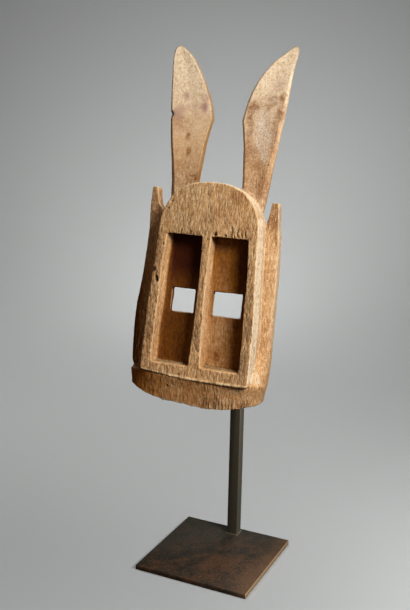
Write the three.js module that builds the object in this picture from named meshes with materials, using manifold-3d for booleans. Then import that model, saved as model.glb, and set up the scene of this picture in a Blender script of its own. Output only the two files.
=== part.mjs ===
// Hare mask carved from one log, on its own steel stand. Millimetres, +Z up, the front faces -Y.
// The origin is the middle of the plate's underside.
import * as THREE from 'three';
import { mergeVertices } from 'three/addons/utils/BufferGeometryUtils.js';
import Module from 'manifold-3d';

const wasm = await Module();
wasm.setup();

// Sizes of the stand
const PLATE_SIDE = 160;
const PLATE_THICK = 6;
const POST_SIDE = 15;
const POST_BACK_EDGE = 6;          // from the post's back face to the plate's back edge
const ARM_TOP = 304;               // the post ends here, inside the mask, below its eyes
const ARM_HIGH = 12;
const ARM_WIDE = 12;
const TONGUE_SIDE = 8;             // square bar that stands behind the nose and carries the mask
const GAP = 0.3;                   // between pieces that touch

// Mask on the stand: leaning back, turned a little to its left, and a touch out of plumb
const MASK_AT = [0, -80.4, PLATE_THICK + 275.2];
const LEAN = 11;
const TURN = 4;
const ROLL = 1;

// Mask, in its own frame: the origin is the middle of the box's front lower edge,
// X to the viewer's right, Y to the back, Z up along the face.
const BOX_HALF_LOW = 71.5;
const BOX_HALF_HIGH = 65;
const BROW_FROM = 176;             // the sides turn into the domed brow here
const BROW_TOP = 241;
const BROW_ROUND = 2.35;           // exponent of the brow's curve
const BOX_DEPTH = 34;
const LIP_LEFT = 1;                // height of the box's lower edge at its left end
const LIP_RIGHT = -2.4;            // and at its right end
const LIP_DROP = 2.3;              // how far it sags between them

const CHANNEL_DEPTH = 18.3;
const CHANNEL_LOW = 12;
const CHANNEL_HIGH = 174.5;
const CHANNEL_OUT_LOW = 58.5;
const CHANNEL_OUT_HIGH = 53.2;
const RIDGE_HALF_LOW = 7.8;
const RIDGE_HALF_MID = 4.9;
const RIDGE_HALF_HIGH = 5.6;
const RIDGE_FLARE = 2.8;           // the ridge widens this much towards its foot
const OUTER_LEAN = 5;              // the channel's outer wall comes this much inwards at its foot
const SILL_RISE = 4;               // the channel's lower end climbs this much inwards

const FACE_WALL = 8.1;
const EYE_IN = 9.5;
const EYE_OUT = 47;
const EYE_IN_LEFT = 15.3;          // the left eye hole is narrower and leaves more wood beside the ridge
const EYE_OUT_LEFT = 45.6;
const EYE_LOW = 77.7;
const EYE_HIGH = 107.3;

const HOLLOW_FRONT = CHANNEL_DEPTH + FACE_WALL;
const WALL = 11;
const WIDEST = 39;                 // depth at which the shell is widest
const HOLLOW_TURN = 66;            // depth at which the hollow's sides start to turn into its front
const SHELL_BACK = 88;             // depth of the walls' back edges
const TAPER_LEFT = 0.1;            // how much the walls draw in towards the back
const TAPER_RIGHT = 0.22;
const CHIN_FRONT = 2.6;
const CHIN_SQUARE = 3.3;
const FLANK_FRONT = 25;
const FLANK_SQUARE = 2.1;
const CEILING = 204;
const SHOULDER = 202;              // top of the side walls beside the brow
const SHOULDER_TILT = -0.075;      // the right shoulder sits lower than the left
const SHOULDER_FALL = 0.85;        // and both fall to the back

const EAR_FRONT = 27;
const EAR_THICK_LOW = 17;
const EAR_THICK_HIGH = 7;
const EAR_LOW = 196;
const EAR_CORNER = 322;
const EAR_TIP = 416;

// Small helpers
const lerp = (a, b, t) => a + (b - a) * t;

function clamp01(t) {
  return Math.min(1, Math.max(0, t));
}

function smooth(a, b, v) {
  const t = clamp01((v - a) / (b - a));
  return t * t * (3 - 2 * t);
}

// Smooth curve through hand-set [position, value] pairs.
function curveThrough(pairs) {
  return (v) => {
    if (v <= pairs[0][0]) return pairs[0][1];
    for (let i = 1; i < pairs.length; i += 1) {
      const [x1, y1] = pairs[i];
      if (v > x1) continue;
      const [x0, y0] = pairs[i - 1];
      const before = pairs[Math.max(0, i - 2)];
      const after = pairs[Math.min(pairs.length - 1, i + 1)];
      const s0 = (y1 - before[1]) / (x1 - before[0]);
      const s1 = (after[1] - y0) / (after[0] - x0);
      const t = (v - x0) / (x1 - x0);
      const w = x1 - x0;
      const a = (2 * t ** 3 - 3 * t ** 2 + 1) * y0 + (t ** 3 - 2 * t ** 2 + t) * w * s0;
      return a + (-2 * t ** 3 + 3 * t ** 2) * y1 + (t ** 3 - t ** 2) * w * s1;
    }
    return pairs[pairs.length - 1][1];
  };
}

// A closed geometry as a solid that can be joined and cut.
function solidOf(geometry) {
  geometry.deleteAttribute('normal');
  geometry.deleteAttribute('uv');
  const merged = mergeVertices(geometry);
  const mesh = new wasm.Mesh({
    numProp: 3,
    vertProperties: merged.getAttribute('position').array,
    triVerts: new Uint32Array(merged.getIndex().array),
  });
  return new wasm.Manifold(mesh);
}

// Closed solid through a stack of rings with equal numbers of [x, y, z] points. The rings run
// counter-clockwise as seen from the last ring's side.
function solidThroughRings(rings) {
  const count = rings[0].length;
  const points = rings.flat();
  const triangles = [];
  for (let level = 0; level + 1 < rings.length; level += 1) {
    for (let i = 0; i < count; i += 1) {
      const a = level * count + i;
      const b = level * count + ((i + 1) % count);
      triangles.push([a, b, b + count], [a, b + count, a + count]);
    }
  }
  const capOf = (level, flip) => {
    const ring = rings[level];
    const middle = [0, 1, 2].map((axis) => ring.reduce((sum, p) => sum + p[axis], 0) / count);
    const hub = points.length;
    points.push(middle);
    for (let i = 0; i < count; i += 1) {
      const a = level * count + i;
      const b = level * count + ((i + 1) % count);
      triangles.push(flip ? [hub, b, a] : [hub, a, b]);
    }
  };
  capOf(0, true);
  capOf(rings.length - 1, false);
  const geometry = new THREE.BufferGeometry();
  geometry.setAttribute('position', new THREE.Float32BufferAttribute(points.flat(), 3));
  geometry.setIndex(triangles.flat());
  return solidOf(geometry);
}

// Block from its lowest to its highest corner.
function block(low, high) {
  const size = low.map((value, axis) => high[axis] - value);
  const middle = low.map((value, axis) => (value + high[axis]) / 2);
  return solidOf(new THREE.BoxGeometry(...size).translate(...middle));
}

// Outline of [x, z] points in the front plane, given depth along Y.
function slab(outline, front, back) {
  const shape = new THREE.Shape(outline.map(([x, z]) => new THREE.Vector2(x, z)));
  const thick = new THREE.ExtrudeGeometry(shape, { depth: back - front, bevelEnabled: false });
  return solidOf(thick.rotateX(Math.PI / 2).translate(0, back, 0));
}

function meshOf(name, solid, material) {
  const { numProp, vertProperties, triVerts } = solid.getMesh();
  const geometry = new THREE.BufferGeometry();
  const positions = new Float32Array(triVerts.length * 3);
  triVerts.forEach((vertex, i) => {
    for (let axis = 0; axis < 3; axis += 1) {
      positions[i * 3 + axis] = vertProperties[vertex * numProp + axis];
    }
  });
  geometry.setAttribute('position', new THREE.BufferAttribute(positions, 3));
  geometry.computeVertexNormals();
  const mesh = new THREE.Mesh(geometry, material);
  mesh.name = name;
  return mesh;
}

// The log's outer form

// Half-widths of the shell where it is widest. The left wall stands out further than the right.
const leftReach = curveThrough([
  [-36, 88], [-22, 92.5], [-3, 94], [5, 100], [17, 101.5], [45, 103],
  [80, 103], [105, 100], [135, 98], [185, 96.5], [232, 92],
]);
const rightReach = curveThrough([
  [-36, 77], [-22, 80], [2, 84], [30, 85], [58, 84.5], [100, 84], [175, 82], [222, 79],
]);

// The lower rim hangs lowest a little right of the middle.
const rimAt = curveThrough([
  [-100, -18], [-86, -22], [-63, -29], [-39, -33.5], [-8, -35],
  [20, -36.5], [48, -34], [66, -30], [81, -26], [90, -22],
]);

// How much of the flank's set-back has come in at a height: a ledge on the left, a slope on the right.
function setBack(z, x) {
  return x < 0 ? smooth(-2, 4, z) : smooth(-8, 46, z);
}

// One level of the shell, from the back left corner round the front to the back right corner.
function shellRing(heightOf, inset, front, back, steps) {
  const ring = [];
  const turnAt = inset > 0 ? HOLLOW_TURN : WIDEST;
  for (const side of [-1, 1]) {
    const depths = [];
    for (let i = 0; i <= 5; i += 1) depths.push({ y: lerp(back, turnAt, i / 5), round: false });
    for (let i = 1; i <= steps; i += 1) depths.push({ angle: (i / steps) * Math.PI / 2, round: true });
    const half = depths.map((d) => {
      const reachOf = side < 0 ? leftReach : rightReach;
      const z = heightOf(side * 85, WIDEST);
      const reach = reachOf(z) - inset;
      const come = setBack(z, side);
      const square = inset > 0 ? 2.8 : lerp(CHIN_SQUARE, FLANK_SQUARE, come);
      const nose = inset > 0 ? front - 0.5 : lerp(CHIN_FRONT, FLANK_FRONT, come);
      const across = d.round ? Math.abs(Math.cos(d.angle)) ** (2 / square) : 1;
      const bent = turnAt - (turnAt - nose) * Math.sin(d.angle) ** (2 / square);
      const y = d.round ? Math.max(front, bent) : d.y;
      const t = Math.max(0, y - WIDEST) / (SHELL_BACK - WIDEST);
      return [side * reach * across * (1 - (side < 0 ? TAPER_LEFT : TAPER_RIGHT) * t * t), y];
    });
    ring.push(...(side > 0 ? half.reverse().slice(1) : half));
  }
  return ring.map(([x, y]) => [x, y, heightOf(x, y)]);
}

// The log itself, from the lower rim up to the shoulders, still full
function shell() {
  const top = (x, y) => SHOULDER + SHOULDER_TILT * x - SHOULDER_FALL * Math.max(0, y - WIDEST);
  const low = (x, y) => rimAt(x) + 0.06 * (y - 20);
  const levels = [-18, -12, -7, -3, -1, 1, 3, 5, 9, 14, 20, 27, 35, 44, 55, 68, 82, 96, 110, 125, 138];
  const rings = [shellRing(low, 0, 0, SHELL_BACK, 20)];
  for (const z of levels) rings.push(shellRing(() => z, 0, 0, SHELL_BACK, 20));
  rings.push(shellRing(top, 0, 0, SHELL_BACK, 20));
  return solidThroughRings(rings);
}

// The crown behind the brow, which closes the hollow above and bears the ears.
function crown() {
  const rings = [];
  const foot = 120;
  const knee = 168;
  const peak = 237;
  for (const z of [foot, knee, 180, 191, 201, 210, 217.5, 224, 229, 233, 235.7, peak]) {
    const rise = clamp01((z - knee) / (peak + 1 - knee));
    const round = (1 - rise ** 2.3) ** (1 / 2.3);
    const half = 63 * round;
    const back = lerp(34, 76, (1 - rise ** 2) ** 0.5);
    const ring = [];
    const count = 36;
    for (let i = 0; i <= count; i += 1) {
      const angle = Math.PI * (i / count);
      const c = Math.cos(angle);
      const s = Math.sin(angle);
      const x = Math.sign(c) * half * Math.abs(c) ** 0.8;
      ring.push([x, 24 + (back - 24) * s ** 0.8, z]);
    }
    rings.push(ring);
  }
  return solidThroughRings(rings);
}

// Box that stands proud of the log: straight sides, domed brow, lower edge with a slight sag.
function faceBox() {
  const outline = [];
  const half = (z) => BOX_HALF_LOW - (BOX_HALF_LOW - BOX_HALF_HIGH) * smooth(40, 200, z);
  for (const z of [LIP_LEFT, 30, 60, 90, 120, 150]) outline.push([-half(z), z]);
  const steps = 44;
  for (let i = 0; i <= steps; i += 1) {
    const angle = Math.PI * (1 - i / steps);
    const c = Math.cos(angle);
    const s = Math.sin(angle);
    const x = Math.sign(c) * half(BROW_FROM) * Math.abs(c) ** (2 / BROW_ROUND);
    outline.push([x, BROW_FROM + (BROW_TOP - BROW_FROM) * s ** (2 / BROW_ROUND)]);
  }
  for (const z of [150, 120, 90, 60, 30]) outline.push([half(z), z]);
  for (let i = 0; i < 8; i += 1) {
    const t = i / 8;
    outline.push([
      lerp(BOX_HALF_LOW, -BOX_HALF_LOW, t),
      lerp(LIP_RIGHT, LIP_LEFT, t) - 4 * LIP_DROP * t * (1 - t),
    ]);
  }
  return slab(outline, 0, BOX_DEPTH);
}

// Narrow prongs in which the side walls end above. They grow out of the flanks.
function prong(side) {
  const left = side < 0;
  const top = left ? 233 : 223;
  const outer = curveThrough(left
    ? [[140, 94], [206, 93], [top, 91.6]]
    : [[140, 82], [192, 80.6], [top, 78.4]]);
  const inner = curveThrough(left
    ? [[140, 64], [190, 66], [200, 71], [208, 77.5], [214, 81.3], [top, 84]]
    : [[140, 60], [186, 61.5], [197, 64.8], [209, 67.4], [top, 69.6]]);
  const front = curveThrough([[140, 43], [165, 36], [190, 31.5], [210, 29], [232, 28]]);
  const rings = [];
  for (const z of [140, 152, 165, 178, 190, 197, 203, 208, 214, top]) {
    const corners = [[inner(z), front(z)], [outer(z), front(z)], [outer(z), 42], [inner(z), 42]];
    const ring = corners.map(([x, y]) => [side * x, y, z]);
    if (left) ring.reverse();
    rings.push(ring);
  }
  return solidThroughRings(rings);
}

// One ear: a flat blade, nearly straight outside, swelling inwards to a corner at about half height.
// Its outer edge is thick and bevelled, its inner edge thin.
const earOut = curveThrough([
  [EAR_LOW, 60.8], [214, 62.5], [228, 64.3], [257, 67], [285, 71.3], [310, 74.4], [340, 77.4],
  [371, 79.7], [388, 81], [398, 82.1], [404, 82.4], [409, 82.2], [413, 81.3], [EAR_TIP, 78.6],
]);
const earInLow = curveThrough([
  [EAR_LOW, 31.5], [243, 28.5], [267, 26.3], [290, 24.2], [305, 21.8], [EAR_CORNER, 18.2],
]);
const earInHigh = curveThrough([
  [EAR_CORNER, 18.2], [335, 20.4], [347, 23.8], [358, 28], [371, 33.8], [381, 39.4], [391, 46.5],
  [398, 51.9], [404, 58.5], [409, 64.8], [413, 70], [EAR_TIP, 75],
]);

// How far the left ear's edges stand further out than the mean of both, and the right ear's further in
const outerStray = curveThrough([
  [EAR_LOW, 5.4], [214, 4.6], [230, 3.2], [300, 4.6], [371, 4.8], [388, 4.5], [403, 3.4], [EAR_TIP, 1.6],
]);
const innerStray = curveThrough([
  [EAR_LOW, 1], [300, 1.4], [340, 1.5], [365, 3], [391, 2.6], [403, 0.9], [EAR_TIP, 0.6],
]);

function ear(side) {
  const rings = [];
  const low = [EAR_LOW, 220, 243, 267, 290, 308, EAR_CORNER];
  const heights = [...low, 335, 347, 358, 371, 381, 391, 398, 404, 409, 413, EAR_TIP];
  for (const z of heights) {
    const t = (z - EAR_LOW) / (EAR_TIP - EAR_LOW);
    const inner = (z < EAR_CORNER ? earInLow(z) : earInHigh(z)) - side * innerStray(z);
    const outer = earOut(z) - side * outerStray(z);
    const wide = outer - inner;
    const thick = lerp(EAR_THICK_LOW, EAR_THICK_HIGH, t ** 0.8);
    const front = EAR_FRONT + 10 * t;
    const bevelOut = Math.min(lerp(7, 1, t), wide * 0.3);
    const bevelIn = Math.min(lerp(4, 3, t), wide * 0.3);
    const taperIn = Math.min(12, wide * 0.35);
    const section = [
      [inner, front + lerp(3.2, 2, t)],
      [inner + bevelIn, front],
      [lerp(inner, outer, 0.5), front + Math.min(1.4, wide * 0.04)],
      [outer - bevelOut, front],
      [outer, front + lerp(5, 1.5, t)],
      [outer - 0.5, front + thick * 0.72],
      [outer - Math.min(4, wide * 0.2), front + thick],
      [inner + taperIn, front + thick],
      [inner + 1, front + lerp(6, 4, t)],
    ];
    const ring = section.map(([x, y]) => [side * x, y, z]);
    if (side < 0) ring.reverse();
    rings.push(ring);
  }
  return solidThroughRings(rings);
}

// The hollow behind the face. It narrows under the crown, as an adze leaves it.
function hollow() {
  const levels = [-60, -20, 20, 60, 100, 135, 160, 178, 190, 198, 202, CEILING];
  const rings = levels.map((z) => {
    const rise = clamp01((z - 150) / (CEILING + 1 - 150));
    const draw = 1 - (1 - rise ** 2.4) ** (1 / 2.4);
    return shellRing(() => z, WALL + draw * 46, HOLLOW_FRONT, SHELL_BACK + 30, 12);
  });
  return solidThroughRings(rings);
}

// The long sunk channel beside the ridge. Its side walls lean in and turn softly into its floor.
function channel(side) {
  const ringAt = (y) => {
    const t = y / CHANNEL_DEPTH;
    const foot = CHANNEL_LOW + SILL_RISE * t;
    const come = Math.max(0, t) ** 1.5;
    const flare = RIDGE_FLARE * come;
    const lean = OUTER_LEAN * come;
    const points = [
      [RIDGE_HALF_LOW + flare * 0.5, foot],
      [lerp(RIDGE_HALF_LOW, RIDGE_HALF_MID, 0.6) + flare, 52],
      [RIDGE_HALF_MID + flare, 92],
      [RIDGE_HALF_MID + flare, 135],
      [RIDGE_HALF_HIGH + flare * 0.5, CHANNEL_HIGH],
      [CHANNEL_OUT_HIGH - lean, CHANNEL_HIGH],
      [CHANNEL_OUT_HIGH + 3.3 - lean, 132],
      [CHANNEL_OUT_HIGH + 3.6 - lean, 95],
      [CHANNEL_OUT_LOW - lean, 50],
      [CHANNEL_OUT_LOW - lean, foot],
    ];
    const ring = points.map(([x, z]) => [side * x, y, z]);
    if (side < 0) ring.reverse();
    return ring;
  };
  return solidThroughRings([-4, 0, 5, 10, 14, 17, CHANNEL_DEPTH].map(ringAt));
}

function eye(side) {
  const xs = side < 0 ? [-EYE_OUT_LEFT, -EYE_IN_LEFT] : [EYE_IN, EYE_OUT];
  return block([xs[0], CHANNEL_DEPTH - 4, EYE_LOW], [xs[1], HOLLOW_FRONT + 6, EYE_HIGH]);
}

// Everything of wood, joined and cut, as one carving
function carving() {
  let wood = shell().add(crown()).add(faceBox());
  for (const side of [-1, 1]) wood = wood.add(prong(side)).add(ear(side));
  wood = wood.subtract(hollow());
  for (const side of [-1, 1]) wood = wood.subtract(channel(side)).subtract(eye(side));
  return wood;
}

// Placing the mask
const lean = new THREE.Euler(-LEAN * Math.PI / 180, ROLL * Math.PI / 180, TURN * Math.PI / 180, 'ZYX');
const maskFrame = new THREE.Matrix4().makeRotationFromEuler(lean);
maskFrame.setPosition(...MASK_AT);

function inMaskFrame(solid) {
  return solid.transform(maskFrame.elements);
}

// The stand's bar

// Post, the arm that runs forward from its top into the hollow, and the tongue behind the nose,
// welded into one bar. The mask hangs on the tongue.
function post() {
  const half = POST_SIDE / 2;
  const middle = PLATE_SIDE / 2 - POST_BACK_EDGE - half;
  const upright = block([-half, middle - half, PLATE_THICK + GAP], [half, middle + half, ARM_TOP]);
  const tongueFront = HOLLOW_FRONT + GAP;
  const low = 14;
  const tongue = inMaskFrame(block(
    [-TONGUE_SIDE / 2, tongueFront, low],
    [TONGUE_SIDE / 2, tongueFront + TONGUE_SIDE, CEILING - GAP],
  ));
  const reach = new THREE.Vector3(0, tongueFront + 2, 24).applyMatrix4(maskFrame);
  const arm = block(
    [reach.x - ARM_WIDE / 2, reach.y, ARM_TOP - ARM_HIGH],
    [reach.x + ARM_WIDE / 2, middle, ARM_TOP],
  );
  return upright.add(arm).add(tongue);
}

function plate() {
  const half = PLATE_SIDE / 2;
  return block([-half, -half, 0], [half, half, PLATE_THICK]);
}

// The scene
const wood = new THREE.MeshStandardMaterial({ color: '#b98a5a', roughness: 0.8, metalness: 0 });
const barSteel = new THREE.MeshStandardMaterial({ color: '#37342f', roughness: 0.55, metalness: 0.8 });
const plateSteel = new THREE.MeshStandardMaterial({ color: '#4a3327', roughness: 0.5, metalness: 0.8 });

const group = new THREE.Group();
group.add(meshOf('mask', inMaskFrame(carving()), wood));
group.add(meshOf('stand_post', post(), barSteel));
group.add(meshOf('base_plate', plate(), plateSteel));

export default group;
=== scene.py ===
"""Looks of a hare mask, carved from one log, on its square steel stand."""

import math

import bmesh
import bpy
import numpy as np
from mathutils import Euler, Matrix, Vector


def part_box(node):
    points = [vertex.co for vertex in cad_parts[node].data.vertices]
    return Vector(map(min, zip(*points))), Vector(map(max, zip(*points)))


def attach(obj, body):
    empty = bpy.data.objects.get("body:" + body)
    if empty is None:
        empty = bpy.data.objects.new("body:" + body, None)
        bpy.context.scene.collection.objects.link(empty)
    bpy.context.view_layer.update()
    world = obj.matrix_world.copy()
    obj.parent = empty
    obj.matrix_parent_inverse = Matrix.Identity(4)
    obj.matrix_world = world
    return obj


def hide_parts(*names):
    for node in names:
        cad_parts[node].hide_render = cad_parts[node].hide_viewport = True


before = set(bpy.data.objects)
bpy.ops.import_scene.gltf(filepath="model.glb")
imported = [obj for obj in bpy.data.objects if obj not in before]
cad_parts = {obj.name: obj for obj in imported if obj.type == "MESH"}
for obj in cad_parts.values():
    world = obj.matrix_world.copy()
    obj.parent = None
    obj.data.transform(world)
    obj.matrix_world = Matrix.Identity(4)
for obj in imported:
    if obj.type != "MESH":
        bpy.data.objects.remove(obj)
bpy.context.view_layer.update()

# The stand, in metres
post_low, post_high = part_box("stand_post")
plate_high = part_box("base_plate")[1]
POST_SIDE = post_high.x - post_low.x
POST_MIDDLE = post_high.y - POST_SIDE / 2

# The mask's own frame: its place on the stand, and how it leans, rolls and turns
MASK_AT = Vector((0.0, -0.0804, 0.2812))
MASK_TURN = Euler((math.radians(-11), math.radians(1), math.radians(4)), "XYZ")
TO_MASK = np.array(MASK_TURN.to_matrix().inverted())

# Sizes of the mask, in millimetres of its own frame
BOX_HALF = 71.5                     # half the box's width
BROW_LOW = 174.5                    # where the channels end and the brow begins
CHANNEL_DEEP = 18.3
CEILING = 204                       # top of the hollow
RIM = -34                           # about the height of the lower rim
FACE_WALL_HALF = 62                 # half the width of the wall between the face and the hollow
HOLLOW_MIDDLE = 56                  # from front to back
RIDGE_MIDDLE = -4                   # the left channel lies left of this, the right one right of it
EYES = (-45.6, -15.3), (9.5, 47)    # left and right sides of the two eye holes
EYE_LOW, EYE_HIGH = 77.7, 107.3

# How finely the wood's surface is made
FINEST = 0.0009                     # metres between its points before it is thinned
ROUNDING = 0.0011                   # metres, the most that wear draws a point to the rounded form
ROUNDING_STEPS = 26
MOST_TRIANGLES = 190000


# Small helpers for numbers
def smooth(a, b, v):
    t = np.clip((v - a) / (b - a), 0, 1)
    return t * t * (3 - 2 * t)


def band(low, high, soft, v):
    return smooth(low - soft, low + soft, v) * (1 - smooth(high - soft, high + soft, v))


def chance(cell, seed):
    """A fixed random number from 0 to 1 for each whole-number cell."""
    h = cell[0] * 374761393 + cell[1] * 668265263 + cell[2] * 1440662683 + seed * 974711
    h = (h ^ (h >> 13)) * 1274126177 & 0xFFFFFFFF
    h = (h ^ (h >> 15)) * 2246822519 & 0xFFFFFFFF
    return ((h ^ (h >> 16)) & 0xFFFF) / 65535.0


def clouds(p, size, seed):
    """Soft noise from 0 to 1 whose cells have that size in millimetres along x, y and z."""
    q = p / np.asarray(size, float)
    cell = np.floor(q).astype(np.int64)
    f = q - cell
    f = f * f * (3 - 2 * f)
    total = np.zeros(len(p))
    for corner in np.ndindex(2, 2, 2):
        weight = np.ones(len(p))
        for axis in range(3):
            weight *= f[:, axis] if corner[axis] else 1 - f[:, axis]
        total += weight * chance([cell[:, a] + corner[a] for a in range(3)], seed)
    return total


def rough(p, size, seed, octaves=3):
    """Clouds with finer clouds on them."""
    size = np.asarray(size, float)
    total, weight, share = 0, 0, 1.0
    for k in range(octaves):
        total = total + share * clouds(p, size / 2**k, seed + k)
        weight += share
        share *= 0.55
    return total / weight


def rows(p, wide, long, seed):
    """Noise drawn out along the grain, in rows that wander a little as they climb."""
    drift = np.zeros_like(p)
    drift[:, 0] = 1.5 * clouds(p, (30, 30, 60), seed + 9)
    return rough(p + drift, (wide, wide, long), seed, 2)


def scoops(p, size, seed):
    """Hollow cuts of a curved blade: 0 at the bottom of each cut, 1 on the crests between."""
    q = p / np.asarray(size, float)
    cell = np.floor(q).astype(np.int64)
    near = np.full(len(p), 9.0)
    for step in np.ndindex(3, 3, 3):
        c = [cell[:, a] + step[a] - 1 for a in range(3)]
        spot = np.stack([c[a] + chance(c, seed + a) for a in range(3)], 1)
        near = np.minimum(near, ((q - spot) ** 2).sum(1))
    return np.clip(near, 0, 1)


# Small helpers for meshes
def mesh_object(name, mesh):
    obj = bpy.data.objects.new(name, mesh)
    bpy.context.scene.collection.objects.link(obj)
    return obj


def node_copy(node, name):
    """A new object with the node's mesh, its loose triangles merged."""
    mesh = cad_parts[node].data.copy()
    bm = bmesh.new()
    bm.from_mesh(mesh)
    bmesh.ops.remove_doubles(bm, verts=bm.verts, dist=1e-6)
    bm.to_mesh(mesh)
    bm.free()
    mesh.materials.clear()
    return mesh_object(name, mesh)


def settle(obj):
    """Turns the object's modifiers into its mesh."""
    graph = bpy.context.evaluated_depsgraph_get()
    mesh = bpy.data.meshes.new_from_object(obj.evaluated_get(graph))
    obj.modifiers.clear()
    obj.data = mesh
    return obj


def places(mesh):
    out = np.empty(len(mesh.vertices) * 3)
    mesh.vertices.foreach_get("co", out)
    return out.reshape(-1, 3)


def outward(mesh):
    out = np.empty(len(mesh.vertices) * 3, np.float32)
    mesh.vertex_normals.foreach_get("vector", out)
    return out.reshape(-1, 3).astype(float)


def in_mask_frame(mesh):
    """Where the mesh's points lie and face, in millimetres of the mask's own frame."""
    return (places(mesh) - np.array(MASK_AT)) @ TO_MASK.T * 1000, outward(mesh) @ TO_MASK.T


def put(mesh, points):
    mesh.vertices.foreach_set("co", points.ravel())
    mesh.update()


def links(mesh):
    out = np.empty(len(mesh.edges) * 2, np.int32)
    mesh.edges.foreach_get("vertices", out)
    return out.reshape(-1, 2)


def relax(values, edges, rounds, amount=0.5):
    """Draws each vertex's values towards the mean of its neighbours'."""
    a, b = edges[:, 0], edges[:, 1]
    count = np.bincount(a, minlength=len(values)) + np.bincount(b, minlength=len(values))
    count = np.maximum(count, 1)
    for _ in range(rounds):
        mean = np.empty_like(values)
        for axis in range(values.shape[1]):
            total = np.bincount(a, values[b, axis], len(values))
            total += np.bincount(b, values[a, axis], len(values))
            mean[:, axis] = total / count
        values = values + amount * (mean - values)
    return values


def even_out(values, edges, rounds):
    """Takes small steps out of a surface. Each draw inwards is followed by one outwards, so that it
    keeps its size."""
    for _ in range(rounds):
        values = relax(relax(values, edges, 1, 0.5), edges, 1, -0.53)
    return values


def keep(mesh, name, values):
    """Stores one number from 0 to 1 for each vertex, for the material to read."""
    layer = mesh.attributes.get(name) or mesh.attributes.new(name, "FLOAT", "POINT")
    layer.data.foreach_set("value", np.ascontiguousarray(np.clip(values, 0, 1), np.float32))


# Where a point of the wood lies. All sizes are millimetres in the mask's frame.
def regions(p, n):
    """How far each point belongs to each part of the mask. The lugs are the side walls' upper ends."""
    x, y, z = p.T
    ahead = smooth(0.2, 0.8, -n[:, 1])
    ear = smooth(205, 235, z) * smooth(20, 26, y)
    ear *= 1 - (np.abs(x) < 66) * (z < 243) * (y > 62)
    lug = band(194, 240, 6, z) * (np.abs(x) > np.where(x < 0, 74, 64)) * (y < 48)
    ear *= 1 - lug
    flat = (1 - smooth(2.5, 5, np.abs(y))) * smooth(-2.5, 0, z)
    sunk = smooth(3, 9, y) * (1 - smooth(CHANNEL_DEEP + 3, CHANNEL_DEEP + 6, y))
    sunk *= (np.abs(x) < 61) * band(9, BROW_LOW + 2, 2, z)
    facing_in = n[:, 0] * (RIDGE_MIDDLE - x) + n[:, 1] * (HOLLOW_MIDDLE - y) - 25 * n[:, 2] * (z > 190)
    behind = y > np.where(np.abs(x) < FACE_WALL_HALF, CHANNEL_DEEP + 4, 6)
    inside = smooth(0, 12, facing_in) * behind * (z < CEILING + 3) * (1 - sunk) * (1 - lug)
    face = flat * ahead
    chin = (1 - smooth(-3, 0, z)) * smooth(-0.2, 0.4, -n[:, 1])
    brow = face * smooth(BROW_LOW - 4, BROW_LOW + 1, z)
    flank = (1 - flat) * (1 - sunk) * (1 - inside) * (1 - ear) * (1 - chin)
    return {
        "ear": ear, "lug": lug, "face": face, "brow": brow, "bars": face - brow,
        "channel": sunk, "inside": inside, "chin": chin, "flank": flank,
    }


def open_grain(where):
    """How far the soft wood between the fibres has worn away: most on the face, least on the ears."""
    share = where["brow"] + 0.85 * where["bars"] + 0.85 * where["chin"] + 0.75 * where["flank"]
    return share + 0.2 * where["ear"] + 0.6 * where["channel"] + 0.45 * where["inside"]


# Splits that open along the grain: middle x and z, half length, half width and depth
def scattered(pick, count, *spans):
    """That many splits, each with a random value from each span. A single number stays as it is."""
    found = []
    for _ in range(count):
        found.append(tuple(pick.uniform(*s) if isinstance(s, tuple) else s for s in spans))
    return found


def splits_on_front():
    pick = np.random.default_rng(7)
    found = scattered(pick, 210, (-62, 62), (BROW_LOW, 240), (2, 8), (0.5, 0.8), (0.2, 0.7))
    found += scattered(pick, 46, (-56, 56), BROW_LOW + 1, (2, 6), (0.6, 0.9), (0.5, 1.2))
    # The long ones that start at the channels' upper ends
    for x, half in ((10.6, 4), (31.3, 8), (38.9, 7), (44.3, 6), (48.6, 6), (-21, 3), (-35, 4)):
        found.append((x, BROW_LOW + half - 1, half, 0.9, 2.0))
    for _ in range(120):
        side = pick.choice((-1, 1))
        x, *rest = scattered(pick, 1, (56, 70), (4, 170), (2, 7), (0.5, 0.8), (0.25, 0.9))[0]
        found.append((side * x, *rest))
    found += scattered(pick, 40, (-6, 8), (14, 172), (2, 7), 0.7, (0.3, 0.9))
    return found + scattered(pick, 70, (-68, 68), (-1, 12), (2, 5), 0.7, (0.3, 0.9))


def splits_on_chin():
    pick = np.random.default_rng(11)
    found = scattered(pick, 130, (-84, 84), (-34, -4), (2, 7), (0.5, 0.8), (0.3, 0.8))
    return found + scattered(pick, 30, (12, 80), RIM + 3, (6, 14), (0.7, 1.1), (0.9, 1.9))


def split_depth(p, found, where):
    """How deep each point lies in a split, in millimetres."""
    x, _, z = p.T
    depth = np.zeros(len(p))
    order = np.argsort(x)
    xs = x[order]
    for middle, height, half, wide, deep in found:
        lo, hi = np.searchsorted(xs, (middle - wide * 3 - 1, middle + wide * 3 + 1))
        some = order[lo:hi]
        along = (z[some] - height) / half
        bend = middle + 0.5 * np.sin(z[some] / 3.1 + middle * 7) + 0.25 * np.sin(z[some] / 1.3 + height)
        across = (x[some] - bend) / wide
        fall = np.clip(1 - along**2, 0, 1) ** 0.6 * np.exp(-across**2)
        depth[some] = np.maximum(depth[some], deep * fall)
    return depth * where


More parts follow.
